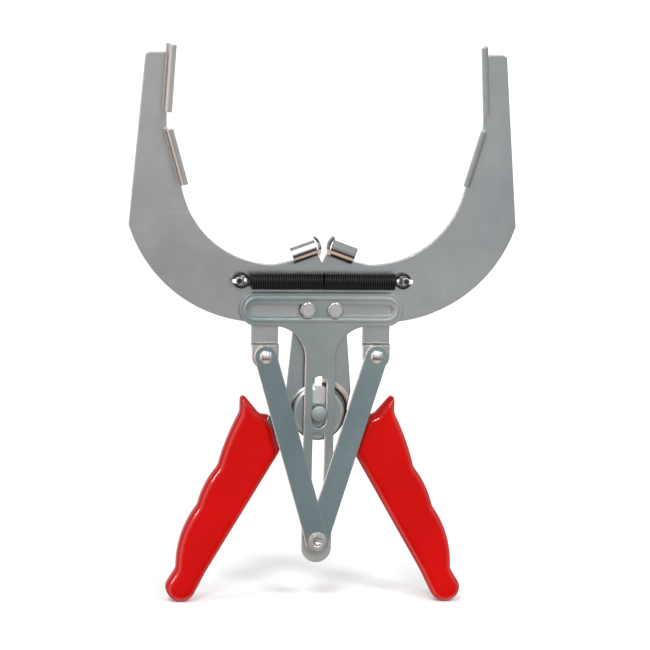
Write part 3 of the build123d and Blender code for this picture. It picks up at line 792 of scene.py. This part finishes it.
def makeSpring():
    shape = springShape
    springLow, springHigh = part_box("tension_spring")
    wire = shape["wire"]
    center = (springLow + springHigh) / 2
    radius = (springHigh.z - springLow.z) / 2 - wire / 2
    loopX = springHigh.x - shape["loopRadius"] - wire / 2
    axisY = springLow.y + radius + wire / 2
    loopY = axisY + shape["loopBack"]
    coilEnd = loopX - shape["loopRadius"] - shape["loopGap"]
    wireRadius = wire / 2 * shape["wireShare"]
    tree, sockets = coilTree()
    coil = growCoil(tree, sockets, {
        "Turns": float(shape["turns"]), "Coil Radius": radius, "Length": coilEnd,
        "Wire Radius": wireRadius, "Steps Per Turn": shape["steps"], "Wire Sides": shape["sides"],
        "Finish": enamel})
    # the spiral grows along Z from its start at +X: lay it along X, with the end at the top
    lay = Matrix(((0, 0, 1, 0), (0, -1, 0, 0), (1, 0, 0, 0), (0, 0, 0, 1)))
    coil.transform(Matrix.Translation((0, axisY, center.z)) @ lay)
    # from the last turn the wire leans in to the end loop and goes once round it
    path = []
    for step in range(shape["crossSteps"] + 1):
        share = step / shape["crossSteps"]
        angle = shape["crossTurn"] * share
        spread = radius * (1 - shape["crossNarrow"] * share)
        reach = math.sin(angle) * spread * (1 - shape["crossLean"] * share)
        path.append(Vector((coilEnd + share * shape["crossRun"], axisY - reach,
                            center.z + math.cos(angle) * spread)))
    loop = []
    for step in range(shape["loopSteps"] + 1):
        angle = math.radians(shape["loopStart"] + shape["loopSweep"] * step / shape["loopSteps"])
        loop.append(Vector((loopX + math.cos(angle) * shape["loopRadius"], loopY,
                            center.z + math.sin(angle) * shape["loopRadius"])))
    path = smoothPath(path + loop, shape["smoothing"])
    wireMesh = tubeAlong(path, wireRadius, shape["sides"])
    half = joinMeshes("halfSpring", [coil, wireMesh])
    tidyMesh(half, shape["weld"])
    for side, name in bothSides:
        copy = half.copy()
        if side < 0:
            copy.transform(Matrix.Diagonal((-1, 1, 1, 1)))
            copy.flip_normals()
        piece = newPiece(f"{name}HalfSpring", copy, enamel)
        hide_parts("tension_spring")
        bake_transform(piece, "guide", f"{name}_jaw_body", (0, center.y, center.z),
                 (side * coilEnd, center.y, center.z))
        evenStretch(piece, side * coilEnd)


def evenStretch(piece, end):
    # a real coil opens evenly, so the share that follows the jaw grows in a straight line
    weights = piece.data.attributes["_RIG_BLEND"].data
    for vertex, weight in zip(piece.data.vertices, weights):
        weight.value = min(1.0, max(0.0, vertex.co.x / end))


makeSpring()
print("spring made")


# floor, light and camera

stage = {
    "floorColor": (0.90, 0.90, 0.90),
    "floorHalf": 7.0,
    "ambient": 0.69,
    "suns": {"left": {"toward": (0.24, 0.86, -0.62), "strength": 1.35, "angle": 12.0},
             "right": {"toward": (-0.26, 0.86, -0.60), "strength": 1.15, "angle": 12.0},
             "leftSpark": {"toward": (0.95, 0.45, -0.55), "strength": 0.60, "angle": 10.0},
             "rightSpark": {"toward": (-0.95, 0.40, -0.60), "strength": 0.35, "angle": 10.0},
             "topSpark": {"toward": (0.30, 0.42, -0.85), "strength": 0.40, "angle": 9.0}},
    # what the metal reflects, by height: (place from straight down to straight up, colour)
    "heights": [(0.0, (1.25, 1.10, 0.95)), (0.16, (1.3, 1.12, 0.98)), (0.24, (0.16, 0.08, 0.06)),
                (0.33, (0.22, 0.15, 0.12)), (0.41, (0.92, 0.93, 0.95)), (0.54, (0.98, 0.99, 1.0)),
                (0.60, (1.8, 1.78, 1.75)), (0.67, (1.6, 1.6, 1.6)), (0.73, (0.95, 0.96, 0.98)),
                (1.0, (0.8, 0.82, 0.85))],
    # and then by direction: colour, axis, and (gone, full, least, greatest share)
    "strip": {"color": (0.20, 0.11, 0.08), "from": -0.52, "to": -0.40, "soft": 0.05, "share": 0.85},
    "sides": (((1.7, 1.5, 1.36), "X", (-0.55, -0.75, 0.0, 0.9)),
              ((0.62, 0.66, 0.68), "X", (0.5, 0.85, 0.0, 0.8)),
              ((1.05, 1.05, 1.05), "Y", (0.1, 0.6, 0.0, 0.8))),
    "seen": (1.0, 1.0, 1.0),
    "floorNoise": {"scale": 30.0, "detail": 3.0}, "floorMottle": 0.985,
    "floorRough": 0.6, "floorSpecular": 0.2,
}


def makeFloor():
    # the floor is left out of reflections, so that metal sees the studio round it instead
    half = stage["floorHalf"]
    mesh = bpy.data.meshes.new("floor")
    corners = [(-half, -half), (half, -half), (half, half), (-half, half)]
    mesh.from_pydata([(x, y, low.z) for x, y in corners], [], [(0, 1, 2, 3)])
    ground = bpy.data.objects.new("floor", mesh)
    bpy.context.collection.objects.link(ground)
    material, tree, shader, coords = newMaterial("paleFloor")
    speck = addNoise(tree, coords, **stage["floorNoise"])
    shade = stage["floorColor"]
    mottled = tuple(part * stage["floorMottle"] for part in shade)
    tree.links.new(mixColors(tree, speck, shade, mottled), shader.inputs["Base Color"])
    shader.inputs["Roughness"].default_value = stage["floorRough"]
    shader.inputs["Specular IOR Level"].default_value = stage["floorSpecular"]
    path = tree.nodes.new("ShaderNodeLightPath")
    clear = tree.nodes.new("ShaderNodeBsdfTransparent")
    mix = tree.nodes.new("ShaderNodeMixShader")
    tree.links.new(path.outputs["Is Glossy Ray"], mix.inputs[0])
    tree.links.new(shader.outputs["BSDF"], mix.inputs[1])
    tree.links.new(clear.outputs["BSDF"], mix.inputs[2])
    output = next(node for node in tree.nodes if node.type == "OUTPUT_MATERIAL")
    tree.links.new(mix.outputs["Shader"], output.inputs["Surface"])
    mesh.materials.append(material)


def makeWorld():
    world = bpy.data.worlds.new("studio")
    bpy.context.scene.world = world
    world.use_nodes = True
    tree = world.node_tree
    coords = tree.nodes.new("ShaderNodeTexCoord")
    axes = separateAxes(tree, coords.outputs["Generated"])
    height = remap(tree, axes["Z"], -1.0, 1.0, 0.0, 1.0)
    ramp = addNode(tree, "ShaderNodeValToRGB", links={"Fac": height})
    ramp.color_ramp.interpolation = "EASE"
    stops = ramp.color_ramp.elements
    for index, (place, shade) in enumerate(stage["heights"]):
        stop = stops[index] if index < 2 else stops.new(place)
        stop.position = place
        stop.color = (*shade, 1.0)
    color = ramp.outputs["Color"]
    strip = stage["strip"]
    share = bandMask(tree, axes["X"], strip["from"], strip["to"], strip["soft"], strip["share"])
    color = mixColors(tree, share, color, strip["color"])
    for shade, axis, fade in stage["sides"]:
        color = mixColors(tree, remap(tree, axes[axis], *fade), color, shade)
    # reflections see the studio, the camera sees plain white, and everything else an even light
    path = tree.nodes.new("ShaderNodeLightPath")
    plain = (stage["ambient"],) * 3
    color = mixColors(tree, path.outputs["Is Glossy Ray"], plain, color)
    color = mixColors(tree, path.outputs["Is Camera Ray"], color, stage["seen"])
    tree.links.new(color, tree.nodes["Background"].inputs["Color"])


def makeSuns():
    for name, settings in stage["suns"].items():
        light = bpy.data.lights.new(f"{name}Sun", "SUN")
        light.energy = settings["strength"]
        light.angle = math.radians(settings["angle"])
        lamp = bpy.data.objects.new(f"{name}Sun", light)
        bpy.context.collection.objects.link(lamp)
        lamp.rotation_euler = Vector(settings["toward"]).to_track_quat("-Z", "Y").to_euler()


cameraView = {"azimuth": -8.5, "elevation": 8.0, "roll": 1.4, "distance": 2.6, "sensor": 36.0,
              "clipEnd": 20.0, "aimX": 2.2 * mm, "aimZ": 126.8 * mm, "fieldWidth": 292.5 * mm}


def makeCamera():
    view = cameraView
    around, above = math.radians(view["azimuth"]), math.radians(view["elevation"])
    back = Vector((math.sin(around) * math.cos(above), -math.cos(around) * math.cos(above),
                   math.sin(above)))
    data = bpy.data.cameras.new("camera")
    data.sensor_width = view["sensor"]
    data.lens = data.sensor_width / (view["fieldWidth"] / view["distance"])
    camera = bpy.data.objects.new("camera", data)
    bpy.context.collection.objects.link(camera)
    camera.location = Vector((view["aimX"], 0.0, view["aimZ"])) + back * view["distance"]
    roll = Matrix.Rotation(math.radians(view["roll"]), 3, "Z")
    camera.rotation_euler = ((-back).to_track_quat("-Z", "Y").to_matrix() @ roll).to_euler()
    data.clip_end = view["clipEnd"]
    bpy.context.scene.camera = camera


makeFloor()
makeWorld()
makeSuns()
makeCamera()
bpy.context.scene.view_settings.view_transform = "Standard"
print("stage ready")
